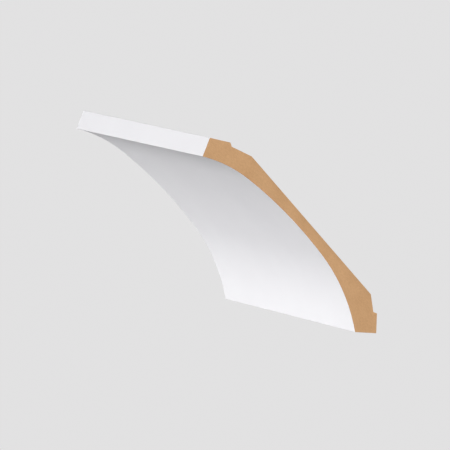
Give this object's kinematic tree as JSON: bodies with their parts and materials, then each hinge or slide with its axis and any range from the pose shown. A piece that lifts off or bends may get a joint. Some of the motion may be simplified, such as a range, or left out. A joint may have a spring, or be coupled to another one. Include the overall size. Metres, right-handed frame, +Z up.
{
  "type": "crown moulding",
  "caption": "Short length of plain cove crown moulding in MDF: white coated lip and cove, bare square-cut ends and relieved back, fixed in the angle of wall and ceiling.",
  "frame": {"origin": "middle of the narrow upright seat that bears on the wall, half way along the length", "axes": "+X along the length, +Y into the wall, square to the wall seat, +Z up to the ceiling"},
  "size_m": [0.12, 0.0847, 0.083],
  "materials": {
    "coated_mdf": "smooth matt white coat on the lip, cove and edges; bare tan MDF on the cut ends and the back"
  },
  "bodies": {
    "root": {"cove_moulding": "coated_mdf"}
  },
  "joints": []
}
